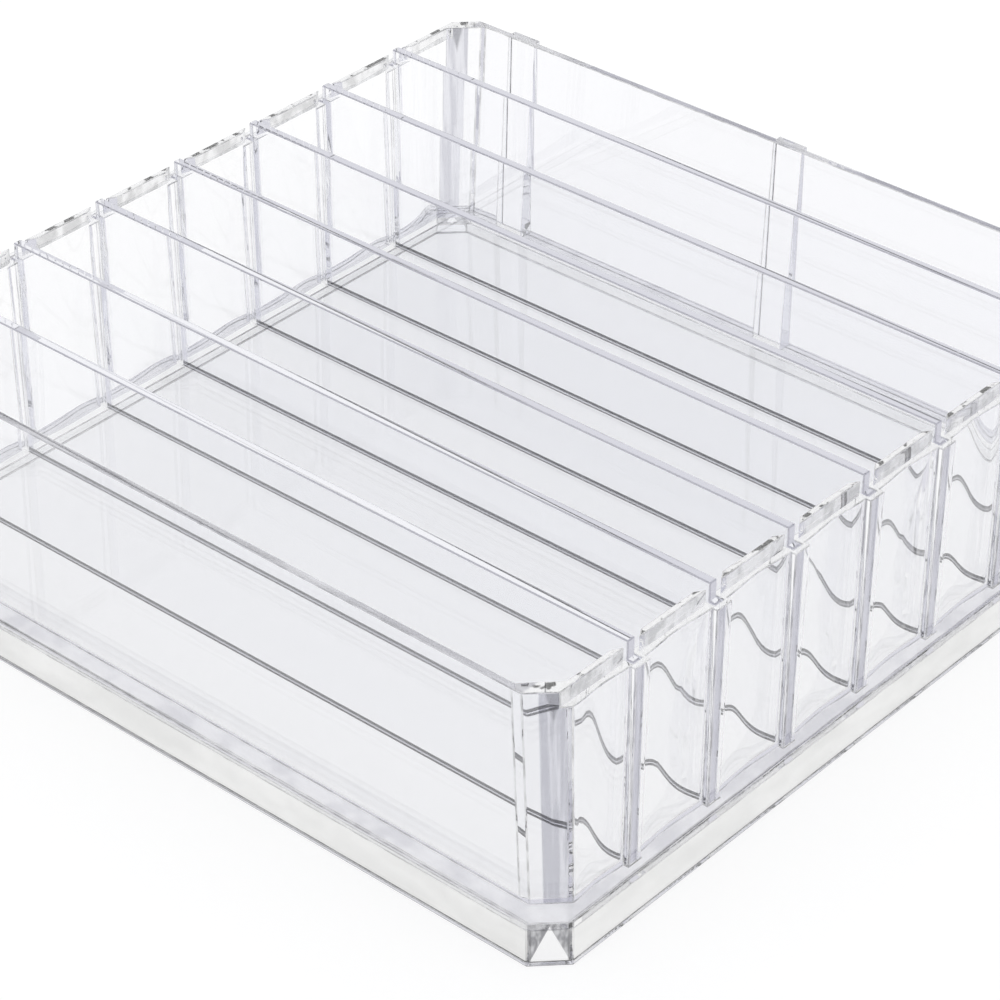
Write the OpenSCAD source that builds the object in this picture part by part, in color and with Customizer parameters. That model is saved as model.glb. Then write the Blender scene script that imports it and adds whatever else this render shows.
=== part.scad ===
// Clear vanity organizer: a shallow moulded tray with lift-out dividers standing in channels.
// X runs across the dividers, Y along them and Z up. The origin is on the surface that the
// tray stands on, under its middle. The two long walls are at -X and +X, and the end walls,
// which carry the channels, at -Y and +Y. All sizes are in millimetres.

/* [Base] */
// Width of the base at its foot, across the dividers
base_w = 250; // [244:1:270]
// Depth of the base at its foot, along the dividers
base_d = 252; // [220:1:280]
// Height of the skirt that the tray stands on
skirt_h = 11.6; // [10:0.2:14]
// How far each side of the skirt draws in from foot to top
skirt_draw = 1.3; // [0.5:0.1:1.8]
// Length cut off each side at a corner of the base
base_corner = 7.8; // [5:0.2:10]
// Height of the floor's top face
floor_z = 11; // [10:0.1:11.4]
// Thickness of the floor and of the ledge over the skirt
plate_t = 2.4; // [1.6:0.1:3]

/* [Walls] */
// Height of the walls' top edge
tray_h = 75.2; // [60:0.2:90]
// Thickness of the long walls and of the skirt
wall_t = 2.2; // [1.6:0.1:2.8]
// From the edge of the base in to the foot of a long wall
side_setback = 7.1; // [6:0.1:8]
// How far a long wall leans out from its foot to its top
side_lean = 3.3; // [1:0.1:4]
// Thickness of the end walls
end_t = 3.8; // [3:0.1:4.4]
// From the edge of the base in to the foot of an end wall
end_setback = 5.8; // [5:0.1:7]
// How far an end wall leans out from its foot to its top
end_lean = 1; // [0.5:0.1:2]
// Length cut off each side at a corner of the walls, at their foot
wall_corner_foot = 7.3; // [5:0.1:9]
// Length cut off each side at a corner of the walls, at their top
wall_corner_top = 8.2; // [6:0.1:10]

/* [Rim] */
// Height of the thin rim that stands on the end walls
rim_h = 4.4; // [3:0.1:6]
// Thickness of that rim
rim_t = 1.8; // [1.2:0.1:2.4]

/* [Dividers] */
// Distance from one divider to the next
pitch = 30; // [26:0.5:31]
// Thickness of a divider
divider_t = 2.6; // [2:0.1:3]
// How far a divider stands above the rim
divider_rise = 0.8; // [0:0.1:2]
// Gap between a divider and its channel, on each face
slot_gap = 0.2; // [0.15:0.05:0.3]
// Gap between each end of a divider and its channel
end_gap = 0.3; // [0.2:0.1:0.5]

/* [Channels] */
// Width of a channel's outer face at its foot
channel_foot_w = 4.6; // [4.4:0.1:6]
// Width of a channel's outer face at its top
channel_top_w = 5.7; // [5.2:0.1:7]
// How far a channel stands out from the end wall
channel_proud = 1.6; // [1.2:0.1:2]
// Thickness of material between the end of the slot and the channel's outer face
channel_skin = 1.7; // [1.4:0.1:2]
// Width of the flared mouth in the rim, at the rim's inner face
mouth_w = 11; // [8:0.5:12]
// Depth over which the flared mouth narrows to the slot
mouth_depth = 2.5; // [1.9:0.1:2.6]

/* [Back ribs] */
// Width of each rib on the back wall
rib_w = 9.6; // [6:0.2:12]
// Distance from one rib to the next
rib_pitch = 99; // [80:1:100]
// How far the middle rib stands off the middle of the back wall
rib_shift = -3; // [-3:0.5:3]
// From the edge of the base in to a rib's outer face
rib_setback = 1.4; // [1.3:0.1:2]

/* [Hidden] */

divider_count = 7;
reach = 400; // longer than the tray in every direction
bite = 1; // how far a cutter or a joined piece runs past a face

tray_clear = [0.90, 0.92, 0.95, 0.45];
divider_clear = [0.86, 0.89, 0.94, 0.40];

// An outline is [half width, half depth, corner cut]
skirt_foot = [base_w / 2, base_d / 2, base_corner];
skirt_top = skirt_foot - [skirt_draw, skirt_draw, 0];
wall_foot = [base_w / 2 - side_setback, base_d / 2 - end_setback, wall_corner_foot];
wall_top = [wall_foot.x + side_lean, wall_foot.y + end_lean, wall_corner_top];
wall_thickness = [wall_t, end_t, 0];

ledge_z = tray_h - rim_h;
divider_top_z = tray_h + divider_rise;
slot_end = wall_at(ledge_z).y + channel_proud - channel_skin;
divider_half_length = slot_end - end_gap;
divider_half_length_top = rim_at(ledge_z).y;
slot_half_w = divider_t / 2 + slot_gap;
slot_draft = 0.15; // how much wider each side of a slot is at its top

// The outer outline of the walls at height z
function wall_at(z) = wall_foot + (wall_top - wall_foot) * (z - skirt_h) / (tray_h - skirt_h);

// The inner outline of the walls at height z
function inside_at(z) = wall_at(z) - wall_thickness;

// The outer outline of the thin rim at height z, set back from the end walls and flush with the
// long walls and the corners
function rim_at(z) = wall_at(z) - (end_t - rim_t) * [0, 1, 1];

// The outline of the skirt at height z
function skirt_at(z) = skirt_foot + (skirt_top - skirt_foot) * z / skirt_h;

// Distance from the middle of an outline to its cut corners
function corner_distance(outline) = (outline.x + outline.y - outline.z) / sqrt(2);

// Place of divider k, counted from 1 at the -X side
function divider_x(k) = (k - (divider_count + 1) / 2) * pitch;

// A bar with two leaning faces, half0 from its middle at z0 and half1 at z1, turned about Z
module leaning_bar(half0, half1, z0, z1, turn) {
    rotate([90, 0, turn])
        linear_extrude(height = reach, center = true)
            polygon([[-half0, z0], [half0, z0], [half1, z1], [-half1, z1]]);
}

// A block with outline foot at z0 and outline top at z1
module leaning_block(foot, top, z0, z1) {
    intersection() {
        leaning_bar(foot.x, top.x, z0, z1, 0);
        leaning_bar(foot.y, top.y, z0, z1, 90);
        leaning_bar(corner_distance(foot), corner_distance(top), z0, z1, 45);
        leaning_bar(corner_distance(foot), corner_distance(top), z0, z1, -45);
    }
}

// The skirt with the ledge over it, hollow underneath
module skirt() {
    shell = [wall_t, wall_t, wall_t * (2 - sqrt(2))];
    difference() {
        leaning_block(skirt_foot, skirt_top, 0, skirt_h);
        leaning_block(
            skirt_at(-bite) - shell, skirt_at(skirt_h - plate_t) - shell, -bite, skirt_h - plate_t
        );
    }
}

// The walls and the floor, as one solid block that the inside is cut from
module wall_block() {
    low = floor_z - plate_t;
    leaning_block(wall_at(low), wall_at(tray_h), low, tray_h);
}

// The inside of the tray, open at the top
module inside() {
    high = tray_h + bite;
    leaning_block(inside_at(floor_z), inside_at(high), floor_z, high);
}

// What is cut away outside the thin rim, between the long walls
module rim_step() {
    high = tray_h + bite;
    width = 2 * inside_at(tray_h).x;
    difference() {
        translate([-width / 2, -reach / 2, ledge_z]) cube([width, reach, high - ledge_z]);
        leaning_block(rim_at(ledge_z - bite), rim_at(high), ledge_z - bite, high);
    }
}

// The outer bodies of the channels, as bars across the tray that the inside is cut from.
// They reach down to the underside of the floor, so that each slot stays closed at its foot.
module channel_bars() {
    low = floor_z - plate_t;
    intersection() {
        for (k = [1 : divider_count])
            translate([divider_x(k), 0, 0])
                leaning_bar(channel_foot_w / 2, channel_top_w / 2, low, ledge_z, 0);
        leaning_bar(
            wall_at(low).y + channel_proud, wall_at(ledge_z).y + channel_proud, low, ledge_z, 90
        );
    }
}

// One slot from end to end of the tray, a little wider at its top than at its foot
module slot() {
    high = tray_h + bite;
    intersection() {
        leaning_bar(slot_half_w, slot_half_w + slot_draft, floor_z, high, 0);
        leaning_bar(slot_end, slot_end, floor_z, high, 90);
    }
}

// The flared mouths at the two ends of one slot, in the rim above the ledge
module mouths() {
    inner = inside_at(tray_h).y;
    flare = (mouth_w / 2 - slot_half_w) / mouth_depth;
    back = inner + mouth_depth;
    front = inner - 2 * bite;
    half = slot_half_w + flare * (back - front);
    outline = [[-slot_half_w, back], [slot_half_w, back], [half, front], [-half, front]];
    for (end = [0, 1])
        mirror([0, end, 0])
            translate([0, 0, ledge_z])
                linear_extrude(height = tray_h)
                    polygon(outline);
}

// The solid ribs outside the back wall
module back_ribs() {
    low = skirt_h - bite;
    outer = base_w / 2 - rib_setback;
    inner = inside_at(low).x + wall_t / 2;
    for (side = [-1, 0, 1])
        translate([inner, side * rib_pitch + rib_shift - rib_w / 2, low])
            cube([outer - inner, rib_w, tray_h - low]);
}

module tray() {
    color(tray_clear)
        difference() {
            union() {
                skirt();
                difference() {
                    wall_block();
                    rim_step();
                }
                channel_bars();
                back_ribs();
            }
            inside();
            for (k = [1 : divider_count])
                translate([divider_x(k), 0, 0]) {
                    slot();
                    mouths();
                }
        }
}

// A flat plate that stands on the floor, with its upper corners notched to clear the ledge
module divider(k) {
    low = divider_half_length;
    high = divider_half_length_top;
    color(divider_clear)
        translate([divider_x(k), 0, 0])
            rotate([90, 0, 90])
                linear_extrude(height = divider_t, center = true)
                    polygon([
                        [-low, floor_z], [low, floor_z],
                        [low, ledge_z], [high, ledge_z],
                        [high, divider_top_z], [-high, divider_top_z],
                        [-high, ledge_z], [-low, ledge_z]
                    ]);
}

tray();
for (k = [1 : divider_count])
    divider(k);
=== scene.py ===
"""A clear moulded vanity organizer: a shallow tray with seven lift-out dividers."""
import math

import bmesh
import bpy
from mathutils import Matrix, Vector


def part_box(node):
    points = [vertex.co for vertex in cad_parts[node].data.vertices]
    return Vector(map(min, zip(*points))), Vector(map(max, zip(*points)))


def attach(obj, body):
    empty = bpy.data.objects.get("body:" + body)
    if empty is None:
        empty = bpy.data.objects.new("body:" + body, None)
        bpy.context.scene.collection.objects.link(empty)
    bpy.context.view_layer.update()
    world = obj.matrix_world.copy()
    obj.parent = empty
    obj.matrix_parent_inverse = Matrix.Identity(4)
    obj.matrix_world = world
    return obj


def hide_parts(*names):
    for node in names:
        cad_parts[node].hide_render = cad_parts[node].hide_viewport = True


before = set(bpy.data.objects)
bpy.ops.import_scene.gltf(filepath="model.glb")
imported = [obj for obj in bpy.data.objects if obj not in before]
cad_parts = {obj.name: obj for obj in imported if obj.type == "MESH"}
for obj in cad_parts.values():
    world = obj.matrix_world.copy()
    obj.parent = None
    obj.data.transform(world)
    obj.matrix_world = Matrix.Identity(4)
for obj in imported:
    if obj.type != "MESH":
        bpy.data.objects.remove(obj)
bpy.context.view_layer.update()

scene = bpy.context.scene
MM = 1000.0               # millimetres in a metre

# ---------------------------------------------------------------- camera
CAM_PLACE = (-0.60292, -0.52839, 0.56027)
CAM_DOWN = 34.238         # degrees below the horizon
CAM_TURN = 48.805         # degrees from +Y towards +X
CAM_FOCAL_PX = 3588.0     # focal length in pixels of the square frame
FRAME_PX = 1000.0         # width of that frame
SENSOR_MM = 36.0


def make_camera():
    data = bpy.data.cameras.new("camera")
    data.sensor_fit = "HORIZONTAL"
    data.sensor_width = SENSOR_MM
    data.lens = CAM_FOCAL_PX / FRAME_PX * SENSOR_MM
    data.clip_start, data.clip_end = 0.01, 60.0
    camera = bpy.data.objects.new("camera", data)
    camera.location = CAM_PLACE
    camera.rotation_euler = (math.radians(90 - CAM_DOWN), 0, math.radians(-CAM_TURN))
    scene.collection.objects.link(camera)
    scene.camera = camera


make_camera()

# ---------------------------------------------------------------- node helpers


def new_material(name):
    mat = bpy.data.materials.new(name)
    mat.use_nodes = True
    mat.node_tree.nodes.clear()
    return mat, mat.node_tree


def node(tree, kind, **inputs):
    made = tree.nodes.new(kind)
    for key, value in inputs.items():
        made.inputs[key].default_value = value
    return made


def maths(tree, operation, *values):
    """Each value is a number, or the output of a node"""
    made = tree.nodes.new("ShaderNodeMath")
    made.operation = operation
    for slot, value in enumerate(values):
        if isinstance(value, (int, float)):
            made.inputs[slot].default_value = value
        else:
            tree.links.new(value, made.inputs[slot])
    return made.outputs[0]


def ramp(tree, fac, low, high, out_low=0.0, out_high=1.0):
    """A smooth step from out_low to out_high, while fac goes from low to high"""
    made = tree.nodes.new("ShaderNodeMapRange")
    made.interpolation_type = "SMOOTHSTEP"
    made.inputs["From Min"].default_value = low
    made.inputs["From Max"].default_value = high
    made.inputs["To Min"].default_value = out_low
    made.inputs["To Max"].default_value = out_high
    tree.links.new(fac, made.inputs["Value"])
    return made.outputs["Result"]


def noise(tree, where, scale, detail, rough):
    made = node(tree, "ShaderNodeTexNoise", Scale=scale, Detail=detail, Roughness=rough)
    tree.links.new(where, made.inputs["Vector"])
    return made.outputs["Fac"]


def vector_maths(tree, operation, where, vector):
    made = tree.nodes.new("ShaderNodeVectorMath")
    made.operation = operation
    tree.links.new(where, made.inputs[0])
    made.inputs[1].default_value = vector
    return made


def split(tree, where):
    """The X, Y and Z of a vector"""
    axes = tree.nodes.new("ShaderNodeSeparateXYZ")
    tree.links.new(where, axes.inputs[0])
    return axes.outputs["X"], axes.outputs["Y"], axes.outputs["Z"]


def object_place(tree):
    return tree.nodes.new("ShaderNodeTexCoord").outputs["Object"]


def blend(tree, fac, low, high):
    """A colour between low and high. Each is a colour, or the output of a node."""
    mix = tree.nodes.new("ShaderNodeMix")
    mix.data_type = "RGBA"
    fac_slot, low_slot, high_slot, colour_out = 0, 6, 7, 2
    tree.links.new(fac, mix.inputs[fac_slot])
    for slot, value in ((low_slot, low), (high_slot, high)):
        if isinstance(value, tuple):
            mix.inputs[slot].default_value = (*value, 1)
        else:
            tree.links.new(value, mix.inputs[slot])
    return mix.outputs[colour_out]


def mix_shaders(tree, fac, low, high):
    mix = tree.nodes.new("ShaderNodeMixShader")
    tree.links.new(fac, mix.inputs["Fac"])
    tree.links.new(low.outputs[0], mix.inputs[1])
    tree.links.new(high.outputs[0], mix.inputs[2])
    return mix


def finish_tree(tree, shader, kind="ShaderNodeOutputMaterial"):
    out = tree.nodes.new(kind)
    tree.links.new(shader.outputs[0], out.inputs["Surface"])


def seen_directly(tree):
    """1 for what the camera, a reflection or a view through clear plastic shows"""
    path = tree.nodes.new("ShaderNodeLightPath")
    both = maths(tree, "MAXIMUM", path.outputs["Is Camera Ray"], path.outputs["Is Glossy Ray"])
    return maths(tree, "MAXIMUM", both, path.outputs["Is Transmission Ray"])


# ---------------------------------------------------------------- clear plastic
PLASTIC_IOR = 1.50
RUB_SCALE = 620.0                       # size of the rub marks, as a noise scale
RUB_START, RUB_FULL = 0.64, 0.82        # noise levels where a mark starts and is at its fullest
RUB_ROUGHNESS = 0.05
LAMP_TINT = (0.965, 0.968, 0.978, 1)    # what is left of a lamp's light behind one surface
LAST_DEPTH = 15.5                       # turns that a ray makes before it ends in a painted glow of grey
# painted glow: the grey given off where a long ray ends, in place of the light and shade it would
# find
PAINTED_GLOW_GREY = (0.70, 0.70, 0.76, 1)


def shade_patches(tree, low, high, stretch, scale, start=0.38, end=0.62):
    """Patches of two tints, which stand for painted shade. An axis with less than 1 in stretch
    has its patches drawn out.
    """
    place = vector_maths(tree, "MULTIPLY", object_place(tree), stretch).outputs[0]
    patches = noise(tree, place, scale, detail=2.0, rough=0.55)
    return blend(tree, ramp(tree, patches, start, end), low, high)


def patchy_shade(*choices):
    """A tint of painted shade in patches, for clear_plastic. choices are those of the function
    above.
    """
    return lambda tree: shade_patches(tree, *choices)


def grey(level):
    return (level, level, level)


def clear_plastic(name, tint):
    """Clear moulded plastic, with faint rub marks in its gloss. tint is a colour, or a function
    that builds one from nodes. Lamps reach through the plastic by way of a Transparent shader,
    and a ray that is still inside after many turns ends in a painted glow of even grey."""
    mat, tree = new_material(name)
    marks = noise(tree, object_place(tree), RUB_SCALE, detail=1.0, rough=0.6)
    rubs = ramp(tree, marks, RUB_START, RUB_FULL, 0.0, RUB_ROUGHNESS)

    glass = tree.nodes.new("ShaderNodeBsdfPrincipled")
    if callable(tint):
        tree.links.new(tint(tree), glass.inputs["Base Color"])
    else:
        glass.inputs["Base Color"].default_value = (*tint, 1)
    glass.inputs["Transmission Weight"].default_value = 1.0
    glass.inputs["IOR"].default_value = PLASTIC_IOR
    tree.links.new(rubs, glass.inputs["Roughness"])

    through = node(tree, "ShaderNodeBsdfTransparent", Color=LAMP_TINT)
    path = tree.nodes.new("ShaderNodeLightPath").outputs
    plastic = mix_shaders(tree, path["Is Shadow Ray"], glass, through)

    # painted glow of even grey, given off by the plastic where a ray has made too many turns
    painted_glow = node(tree, "ShaderNodeEmission", Color=PAINTED_GLOW_GREY, Strength=1.0)
    deep = maths(tree, "GREATER_THAN", path["Ray Depth"], LAST_DEPTH)
    not_shadow = maths(tree, "SUBTRACT", 1.0, path["Is Shadow Ray"])
    last = maths(tree, "MULTIPLY", deep, not_shadow)
    finish_tree(tree, mix_shaders(tree, last, plastic, painted_glow))
    return mat


def corner_place(tree):
    """Where a point on a cut corner is, in millimetres: across the corner, positive towards the
    long wall, and height"""
    x, y, z = split(tree, object_place(tree))
    x, y = maths(tree, "ABSOLUTE", x), maths(tree, "ABSOLUTE", y)
    across = maths(tree, "MULTIPLY", maths(tree, "SUBTRACT", x, y), MM)
    return across, maths(tree, "MULTIPLY", z, MM)


def painted_top_shade(tree):
    """The top edges, in painted shade: grey along the long walls, and clear with short dark
    dashes on the rim, which are painted dark reflections
    """
    wall_until_y, rim_from_y = 0.1125, 0.1135
    y = maths(tree, "ABSOLUTE", split(tree, object_place(tree))[1])
    rim = ramp(tree, y, wall_until_y, rim_from_y)
    wall = shade_patches(tree, (0.26, 0.26, 0.29), (0.50, 0.50, 0.54), (1, 0.15, 1), 240.0)
    dashes = shade_patches(tree, grey(0.04), grey(0.98), (1, 1, 1), 210.0, 0.42, 0.47)
    return blend(tree, rim, wall, dashes)


def wall_corner(tree):
    """A cut corner of the walls, in painted shade: clear along its long-wall side and painted
    grey beyond, darkest in a painted dark wedge at the top"""
    wedge_across, wedge_foot, wedge_growth, wedge_depth = -2.2, 66.0, 0.34, 0.85
    wedge_outside, wedge_inside = -0.6, 0.9
    split_lean, split_at_foot, split_half = 0.04, -0.2, 0.3
    across, z = corner_place(tree)
    # painted shade: grey patches drawn out upright, for the dark look that refraction gives the
    # corner
    corner_shade = shade_patches(tree, (0.40, 0.40, 0.46), (0.66, 0.66, 0.72), (1, 1, 0.05), 520.0)
    off = maths(tree, "ABSOLUTE", maths(tree, "ADD", across, -wedge_across))
    width = maths(tree, "MULTIPLY", maths(tree, "SUBTRACT", z, wedge_foot), wedge_growth)
    inside = maths(tree, "SUBTRACT", width, off)
    dark = ramp(tree, inside, wedge_outside, wedge_inside, 0.0, wedge_depth)
    # painted shade: a near-black wedge towards the top
    corner_shade = blend(tree, dark, corner_shade, (0.10, 0.10, 0.12))
    line = maths(tree, "MULTIPLY_ADD", z, split_lean, split_at_foot)
    clear_side = ramp(tree, maths(tree, "SUBTRACT", across, line), -split_half, split_half)
    return blend(tree, clear_side, corner_shade, (0.97, 0.97, 0.98))


def skirt_corner(tree):
    """A cut corner of the skirt: a clear triangle between two dark wedges of painted shade"""
    middle_across, half_at_foot, narrowing, soft_edge = -1.0, 7.4, -0.72, 0.5
    across, z = corner_place(tree)
    off = maths(tree, "ABSOLUTE", maths(tree, "ADD", across, -middle_across))
    half = maths(tree, "MULTIPLY_ADD", z, narrowing, half_at_foot)
    wedge = ramp(tree, maths(tree, "SUBTRACT", off, half), 0.0, soft_edge)
    # painted shade: dark grey patches on the two wedges
    corner_shade = shade_patches(tree, (0.10, 0.10, 0.11), (0.42, 0.42, 0.44), (1, 1, 0.4), 500.0)
    return blend(tree, wedge, grey(0.99), corner_shade)


CLEAR = (0.976, 0.978, 0.987)

# The kinds of surface, in the order of the tray's materials. A divider has the first four.
(FACE, SOFT_EDGE, DARK_EDGE, END_FACE, TOP_FACE, RIM_FACE, LEDGE, SKIRT, FLOOR, BACK_WALL,
 END_WALL, CORNER, FOOT_CORNER) = range(13)

TRAY = [
    clear_plastic("tray_plastic", CLEAR),
    # painted shade: grey patches on the rounded edges, for the refraction lines along them
    clear_plastic("tray_edge_soft", patchy_shade(grey(0.38), grey(0.72), (1, 1, 1), 160.0)),
    # painted shade: near-black on the edges at the skirt's foot and up the back ribs
    clear_plastic("tray_edge_dark", patchy_shade(grey(0.02), grey(0.12), (1, 1, 1), 200.0)),
    # painted shade: lavender-grey upright streaks on the slot ends, for the dark lines that the
    # channels show
    clear_plastic("tray_slot_ends", patchy_shade(
        (0.52, 0.52, 0.57), (0.80, 0.80, 0.84), (1, 1, 0.05), 900.0)),
    # painted shade: grey tops of the long walls and painted dark reflections as dashes on the rim
    clear_plastic("tray_tops", painted_top_shade),
    # painted shade: grey patches on the rim's faces
    clear_plastic("tray_rim", patchy_shade(grey(0.46), grey(0.84), (1, 1, 0.7), 190.0)),
    # painted shade: lavender-grey patches on the ledge, for the dark hollow skirt seen through it
    clear_plastic("tray_ledge", patchy_shade(
        (0.60, 0.60, 0.66), (0.80, 0.80, 0.85), (0.3, 0.3, 1), 260.0)),
    # painted shade: light grey patches on the skirt, for the shadow inside and under it
    clear_plastic("tray_skirt", patchy_shade(
        (0.84, 0.84, 0.83), (0.93, 0.93, 0.92), (0.35, 0.35, 1), 150.0, 0.3, 0.7)),
    # painted shade: the floor plate is tinted a little greyer than the clear plastic
    clear_plastic("tray_floor", (0.94, 0.943, 0.957)),
    # painted shade: the back wall is tinted a little greyer than the clear plastic
    clear_plastic("tray_back_wall", (0.95, 0.95, 0.968)),
    # painted light: the end walls are tinted whiter than the clear plastic
    clear_plastic("tray_end_wall", (0.998, 0.998, 0.999)),
    clear_plastic("tray_wall_corner", wall_corner),
    clear_plastic("tray_skirt_corner", skirt_corner),
]
PLATE = [
    clear_plastic("divider_plastic", CLEAR),
    # painted shade: grey on a divider's rounded edges
    clear_plastic("divider_edge_soft", (0.42, 0.42, 0.46)),
    # painted shade: near-black for the dark lines along a divider's foot and ends
    clear_plastic("divider_edge_dark", (0.012, 0.012, 0.014)),
    # painted shade: grey on a divider's ends, where they stand in the channels
    clear_plastic("divider_ends", (0.72, 0.72, 0.76)),
]

# ---------------------------------------------------------------- flat faces, sizes in metres
FLOOR_Z = 0.011           # height of the floor that the dividers stand on
FLOOR_UNDER_Z = 0.0086    # and of its underside
LEDGE_Z = 0.0116          # height of the ledge round the foot of the walls
LEDGE_UNDER_Z = 0.0092    # and of its underside, which is drawn flush with the floor's
RIM_FOOT_Z = 0.0708       # height of the top of the end walls, where the thin rim stands
RIB_FACE_X = 0.1236       # outer faces of the back ribs
RIB_ROOM = 0.0007         # drawn in by this, so that the rounds at their feet have room

NEAR = 2e-5               # a face or point lies at a place if it is this close to it
SAME_POINT = 2e-7         # points that are closer than this are one point of the model
TINY_STEP = 5e-5          # and those closer than this are joined to leave no tiny step
SLIVER = 1e-6             # a triangle that is less high than this has no area
FLAT_DEGREES = 0.4        # faces that meet at less than this are one flat face
STRAIGHT = 0.9999         # cosine of the angle between two edges that are one straight edge
FACING = 0.9              # a face with more than this of its normal along an axis faces that way
UPRIGHT = 0.3             # and one with less than this of it along Z stands upright
UPRIGHT_STRIP = 0.25      # or less than this, for a strip of a rounded edge
EVEN = 0.1                # a face whose normal has X and Y this much alike is a cut corner


def near(value, target):
    return abs(value - target) < NEAR


def on_ledge(edge):
    return (all(near(v.co.z, LEDGE_Z) for v in edge.verts)
            and all(f.normal.z > FACING for f in edge.link_faces))


def straight_through(vert):
    """Whether a point only divides a straight edge in two"""
    if len(vert.link_edges) != 2:
        return False
    a, b = [(e.other_vert(vert).co - vert.co).normalized() for e in vert.link_edges]
    return abs(a.dot(b)) > STRAIGHT


def mend_slivers(bm):
    """Takes out triangles that have no area. The long edge of each is split where its third
    corner lies, so that the surface stays closed."""
    while True:
        for face in bm.faces:
            long_edge = max(face.edges, key=lambda e: e.calc_length())
            if 2 * face.calc_area() < SLIVER * long_edge.calc_length():
                break
        else:
            return
        corner = next(v for v in face.verts if v not in long_edge.verts)
        start, end = long_edge.verts
        along = end.co - start.co
        share = (corner.co - start.co).dot(along) / along.length_squared
        bmesh.ops.delete(bm, geom=[face], context="FACES_ONLY")
        _, extra = bmesh.utils.edge_split(long_edge, start, share)
        bmesh.ops.weld_verts(bm, targetmap={extra: corner})


def whole_faces(source):
    """A node of the model as a bmesh with its flat faces in one piece. The ledge is a ring,
    which one face can't hold, so it stays in triangles."""
    bm = bmesh.new()
    bm.from_mesh(source.data)
    bmesh.ops.remove_doubles(bm, verts=bm.verts, dist=SAME_POINT)
    for vert in bm.verts:
        if near(vert.co.z, LEDGE_UNDER_Z):
            vert.co.z = FLOOR_UNDER_Z
        if near(vert.co.x, RIB_FACE_X) and vert.co.z > LEDGE_Z - NEAR:
            vert.co.x -= RIB_ROOM
    bmesh.ops.remove_doubles(bm, verts=bm.verts, dist=TINY_STEP)
    mend_slivers(bm)
    bm.normal_update()
    bmesh.ops.dissolve_limit(bm, angle_limit=math.radians(FLAT_DEGREES), verts=[],
                             edges=[e for e in bm.edges if not on_ledge(e)])
    spare = [v for v in bm.verts if straight_through(v)]
    bmesh.ops.dissolve_verts(bm, verts=spare)
    bm.normal_update()
    return bm


# ---------------------------------------------------------------- rounded edges
EDGE_ROUND = 0.00030      # small moulded round on the edges of the tray
PLATE_ROUND = 0.00035     # and on the edges of a divider
ROUND_STEPS = 3
EDGE_DEGREES = 20.0       # faces that meet at more than this have a rounded edge


def rim_foot(edge):
    """Whether an edge is an inner corner at the foot of the thin rim, which stays sharp"""
    return all(near(v.co.z, RIM_FOOT_Z) for v in edge.verts) and not edge.is_convex


def rounded(bm, width, edge_kind):
    """Rounds the edges. edge_kind(centre, normal) is the kind of surface of a new strip, whose
    centre it takes in millimetres."""
    least = math.radians(EDGE_DEGREES)
    sharp = [e for e in bm.edges
             if e.is_manifold and e.calc_face_angle(0) > least and not rim_foot(e)]
    made = bmesh.ops.bevel(bm, geom=sharp, offset=width, offset_type="OFFSET",
                           segments=ROUND_STEPS, profile=0.5, affect="EDGES", clamp_overlap=False)
    bm.normal_update()
    for face in made["faces"]:
        face.material_index = edge_kind(face.calc_center_median() * MM, face.normal)


# ---------------------------------------------------------------- tray
PITCH = 0.030             # from one divider to the next
WAVE = 0.0007             # how deep the end walls are hollowed between their channels
WAVE_STRIPS = 14
HALF_BAY = 0.0127         # half the width between two channels

# Values that lie between two surfaces of the tray, and so tell them apart
BAY_WALL_AREA = 0.0008    # an end wall's outer face between two channels is larger than this
BAY_WALL_Y = 0.120        # and lies beyond this distance from the middle
BAY_WALL_Z = 0.030        # with its middle over this height
BAY_FOOT_Z = 0.020        # and its two lower corners under this one
SKIRT_CORNERS = 0.241     # outside the skirt's cut corners, x + y is more than this
WALL_CORNERS = 0.2305     # and outside those of the walls, it is more than this
WALLS_Z = 0.012           # the walls stand over this height
SLOT_HALF = 0.0018        # half of a slot's width is less than this
SLOTS_X = 0.100           # all slots lie within this distance of the middle
SLOT_ENDS_Y = (0.1196, 0.1215)    # a slot's end lies between these distances
SLOT_ENDS_Z = 0.0705      # with its middle under this height
TOPS_Z = 0.075            # the top faces of the walls and the rim lie over this height
SKIRT_Z = 0.009           # the skirt's sides lie under this one
BACK_WALL_X = 0.114       # the back wall lies beyond this
END_WALL_Y = 0.116        # and the end walls beyond this
END_WALL_Z = (0.020, 0.060)       # with their middle between these heights
RIM_Y, RIM_Z = 0.1186, 0.071      # the rim's outer faces lie beyond and over these
SKIRT_FOOT_Z = 0.0008     # the edges at the skirt's foot are under this height
RIB_X, RIB_Z = 0.1224, 0.013      # the edges up the back ribs lie beyond and over these
INSIDE_X, INSIDE_Y = 0.113, 0.1205    # the upright edges inside the tray lie within these


def bay_wall(face):
    """Whether a face is the outer face of an end wall between two channels"""
    centre = face.calc_center_median()
    return (abs(face.normal.y) > FACING and face.calc_area() > BAY_WALL_AREA
            and abs(centre.y) > BAY_WALL_Y and centre.z > BAY_WALL_Z)


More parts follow.
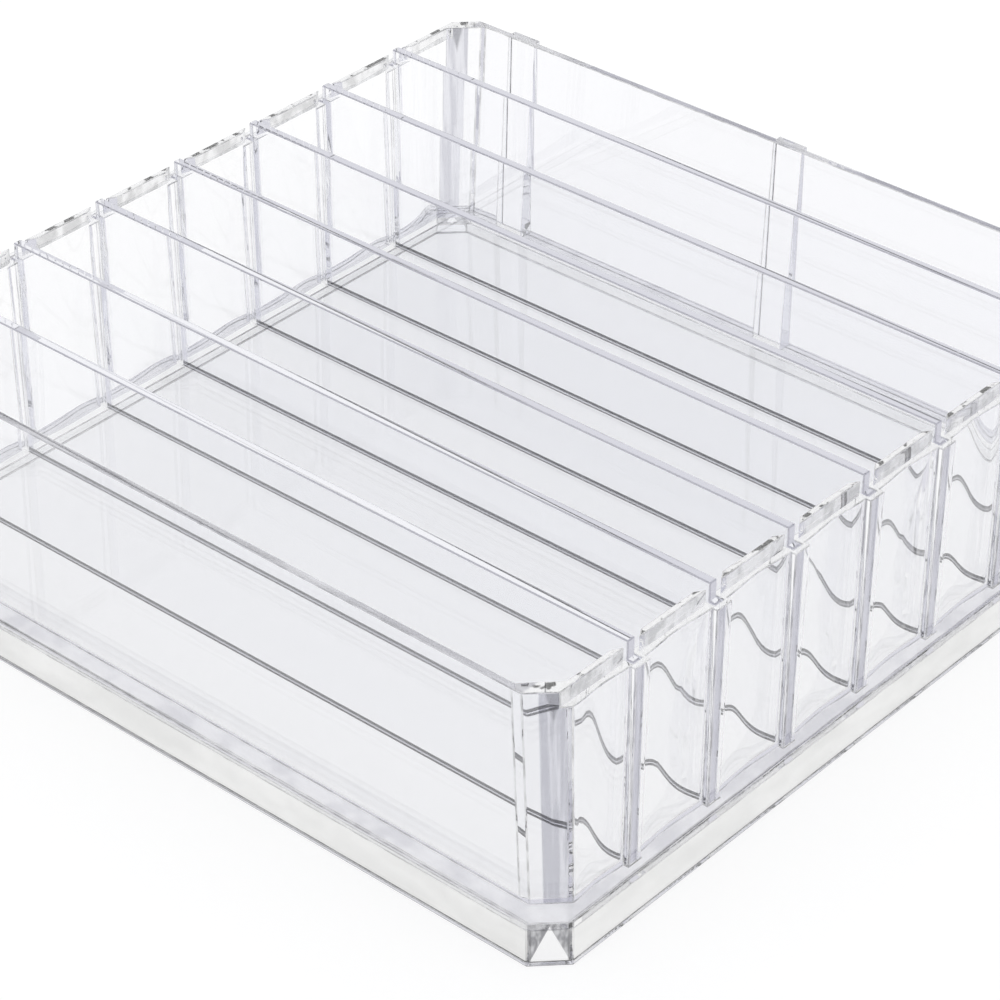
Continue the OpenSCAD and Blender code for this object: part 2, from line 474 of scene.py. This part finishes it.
def hollow_end_walls(bm):
    """Hollows the outer face of each end wall a little between its channels, as a smooth wave"""
    for wall in [f for f in bm.faces if bay_wall(f)]:
        xs = [v.co.x for v in wall.verts if v.co.z < BAY_FOOT_Z]
        middle, half = (min(xs) + max(xs)) / 2, (max(xs) - min(xs)) / 2
        grid = {wall}
        for i in range(1, WAVE_STRIPS):
            x = middle + half * (2 * i / WAVE_STRIPS - 1)
            geom = {g for f in grid for g in (f, *f.edges, *f.verts)}
            cut = bmesh.ops.bisect_plane(bm, geom=list(geom), plane_co=(x, 0, 0),
                                         plane_no=(1, 0, 0), dist=SAME_POINT)
            grid = {f for f in cut["geom"] if isinstance(f, bmesh.types.BMFace)}
        for vert in {v for f in grid for v in f.verts}:
            share = (vert.co.x - middle) / half
            if abs(share) < 0.99:
                depth = WAVE * (half / HALF_BAY) * (1 + math.cos(math.pi * share)) / 2
                vert.co.y -= math.copysign(depth, vert.co.y)
    bm.normal_update()


def tray_face(centre, normal):
    """The kind of surface of a face of the tray"""
    x, y, z = abs(centre.x), abs(centre.y), centre.z
    upright, level = abs(normal.z) < UPRIGHT, normal.z > FACING
    along_x, along_y = abs(normal.x) > FACING, abs(normal.y) > FACING
    cut_corner = upright and abs(abs(normal.x) - abs(normal.y)) < EVEN
    from_slot = abs((centre.x + PITCH / 2) % PITCH - PITCH / 2)
    if cut_corner:
        if x + y > SKIRT_CORNERS or z > WALLS_Z and x + y > WALL_CORNERS:
            return FOOT_CORNER if z < FLOOR_Z else CORNER
        return FACE
    if (from_slot < SLOT_HALF and x < SLOTS_X and z < SLOT_ENDS_Z
            and SLOT_ENDS_Y[0] < y < SLOT_ENDS_Y[1]):
        return END_FACE
    if level and z > TOPS_Z:
        return TOP_FACE
    if level and near(z, LEDGE_Z):
        return LEDGE
    if level and near(z, FLOOR_Z):
        return FLOOR
    if upright and z < SKIRT_Z:
        return SKIRT
    if along_x and centre.x > BACK_WALL_X:
        return BACK_WALL
    if along_y and y > END_WALL_Y and END_WALL_Z[0] < z < END_WALL_Z[1]:
        return END_WALL
    if along_y and y > RIM_Y and z > RIM_Z:
        return RIM_FACE
    return FACE


def tray_edge(centre, normal):
    """Painted shade on the rounded edges: dark along the skirt's foot and up the back ribs, clear
    inside the tray, soft grey elsewhere
    """
    upright = abs(normal.z) < UPRIGHT_STRIP
    skirt_foot = centre.z < SKIRT_FOOT_Z * MM
    back_rib = upright and centre.x > RIB_X * MM and centre.z > RIB_Z * MM
    if skirt_foot or back_rib:
        return DARK_EDGE
    if upright and abs(centre.y) < INSIDE_Y * MM and abs(centre.x) < INSIDE_X * MM:
        return FACE
    return SOFT_EDGE


# ---------------------------------------------------------------- dividers
FOOT_LINE = 0.0006        # height of the painted dark line of shade along the foot of a divider
FOOT_ZONE = 0.001         # a divider's foot, with its rounded edges, ends at this height over it
NOTCH_Z = 0.070           # a divider's ends stand in the channels up to this height
CHANNELS_Y = 0.110        # and the channels lie beyond this distance from the middle
FLOOR_GAP = 0.00006       # a divider is drawn this far above the floor, off its surface


def mark_plate(bm, foot):
    """Splits off the foot of the face towards +X, for the painted dark line of shade there, and
    marks the ends
    """
    bmesh.ops.bisect_plane(bm, geom=[*bm.faces, *bm.edges, *bm.verts],
                           plane_co=(0, 0, foot + PLATE_ROUND + FOOT_LINE), plane_no=(0, 0, 1))
    bm.normal_update()
    for face in bm.faces:
        if abs(face.normal.y) > FACING:
            face.material_index = END_FACE
        elif face.normal.x > FACING and face.calc_center_median().z < foot + FOOT_ZONE:
            face.material_index = DARK_EDGE


def plate_edge(middle, foot):
    """The foot's edge towards +X is painted dark, as a line of shade, and so is one upright edge
    at each end. middle and foot are places in millimetres."""
    def kind(centre, normal):
        side = centre.x - middle
        if centre.z <= foot + FOOT_ZONE * MM:
            return DARK_EDGE if side > 0 else FACE
        if centre.z < NOTCH_Z * MM and abs(centre.y) > CHANNELS_Y * MM:
            return DARK_EDGE if side * centre.y < 0 else FACE
        return SOFT_EDGE
    return kind


# ---------------------------------------------------------------- pieces
SMOOTH_DEGREES = 9.0      # faces that meet at more than this have a sharp edge between them


def finish_piece(piece_name, bm, name, materials):
    """Makes the piece that stands for the node and rides on the body of the same name"""
    mesh = bpy.data.meshes.new(piece_name)
    bmesh.ops.recalc_face_normals(bm, faces=bm.faces)
    bm.to_mesh(mesh)
    bm.free()
    mesh.shade_smooth()
    mesh.set_sharp_from_angle(angle=math.radians(SMOOTH_DEGREES))
    for material in materials:
        mesh.materials.append(material)
    piece = bpy.data.objects.new(piece_name, mesh)
    scene.collection.objects.link(piece)
    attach(piece, name)
    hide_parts(name)


def make_tray(name):
    bm = whole_faces(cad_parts[name])
    hollow_end_walls(bm)
    for face in bm.faces:
        face.material_index = tray_face(face.calc_center_median(), face.normal)
    rounded(bm, EDGE_ROUND, tray_edge)
    finish_piece(name + "_shell", bm, name, TRAY)


def make_divider(name):
    low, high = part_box(name)
    bm = whole_faces(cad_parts[name])
    mark_plate(bm, low.z)
    rounded(bm, PLATE_ROUND, plate_edge((low.x + high.x) / 2 * MM, low.z * MM))
    bmesh.ops.translate(bm, verts=bm.verts, vec=(0, 0, FLOOR_GAP))
    finish_piece(name + "_plate", bm, name, PLATE)


for name in sorted(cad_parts):
    if name == "tray":
        make_tray(name)
    else:
        make_divider(name)

# ---------------------------------------------------------------- floor, world and lamp
STAGE_HALF = 12.0         # half the width of the floor, in metres
STAGE_DROP = 0.0001       # the floor lies this far below the tray's foot
STAGE_GLOW = 1.06         # brightness of the floor's own light, where 1 is white
STAGE_GLOW_SHARE = 0.75   # share of that light in the floor, where it is seen directly

DARKEST = 0.16            # brightness of the studio's dark side
HORIZON_LOW, HORIZON_HIGH = 0.16, 0.40    # the bright horizon fades out between these heights
PANEL_WAY = (0.62, 0.545, 0.62)           # direction of the bright panel, over the far corner
PANEL_EDGE, PANEL_FULL = 0.60, 0.80       # cosines of the angles off it where it fades
ROOM_LIGHT = 0.75         # strength of the even light that the studio gives


def make_floor():
    mesh = bpy.data.meshes.new("floor")
    corners = [(-1, -1), (1, -1), (1, 1), (-1, 1)]
    mesh.from_pydata([(x * STAGE_HALF, y * STAGE_HALF, 0) for x, y in corners],
                     [], [(0, 1, 2, 3)])
    floor = bpy.data.objects.new("floor", mesh)
    floor.location.z = -STAGE_DROP
    scene.collection.objects.link(floor)
    mat, tree = new_material("floor_white")
    diffuse = node(tree, "ShaderNodeBsdfDiffuse", Color=(0.9, 0.9, 0.9, 1))
    glow = node(tree, "ShaderNodeEmission", Color=(1, 1, 1, 1), Strength=STAGE_GLOW)
    share = maths(tree, "MULTIPLY", seen_directly(tree), STAGE_GLOW_SHARE)
    finish_tree(tree, mix_shaders(tree, share, diffuse, glow))
    mesh.materials.append(mat)


def make_world():
    """A studio with a bright horizon and one bright panel, as reflections and clear plastic
    show it, and an even light for everything else"""
    world = bpy.data.worlds.new("studio")
    scene.world = world
    world.use_nodes = True
    tree = world.node_tree
    tree.nodes.clear()
    way = tree.nodes.new("ShaderNodeTexCoord").outputs["Generated"]
    height = split(tree, way)[2]
    towards = vector_maths(tree, "DOT_PRODUCT", way, Vector(PANEL_WAY).normalized())
    horizon = ramp(tree, height, HORIZON_LOW, HORIZON_HIGH, 1.0, 0.0)
    panel = ramp(tree, towards.outputs["Value"], PANEL_EDGE, PANEL_FULL)
    level = maths(tree, "MAXIMUM", maths(tree, "MAXIMUM", horizon, panel), DARKEST)
    studio = node(tree, "ShaderNodeBackground", Color=(1, 1, 1, 1))
    tree.links.new(level, studio.inputs["Strength"])
    even = node(tree, "ShaderNodeBackground", Color=(0.97, 0.98, 1.0, 1), Strength=ROOM_LIGHT)
    finish_tree(tree, mix_shaders(tree, seen_directly(tree), even, studio),
                "ShaderNodeOutputWorld")


def make_lamp(name, place, aim, width, watts):
    """A square lamp that gives light and shadow, and shows in no reflection"""
    data = bpy.data.lights.new(name, "AREA")
    data.shape = "RECTANGLE"
    data.size = data.size_y = width
    data.energy = watts
    lamp = bpy.data.objects.new(name, data)
    lamp.location = place
    lamp.visible_glossy = lamp.visible_transmission = False
    lamp.rotation_euler = (Vector(aim) - Vector(place)).to_track_quat("-Z", "Y").to_euler()
    scene.collection.objects.link(lamp)


make_floor()
make_world()
make_lamp("top_softbox", place=(0.5, 0.6, 1.7), aim=(0, 0, 0), width=1.4, watts=14.0)

# Clear plastic needs many bounces
scene.cycles.max_bounces = 32
scene.cycles.transmission_bounces = 32
scene.cycles.glossy_bounces = 24
scene.cycles.diffuse_bounces = 3
scene.cycles.transparent_max_bounces = 64

scene.view_settings.view_transform = "Standard"
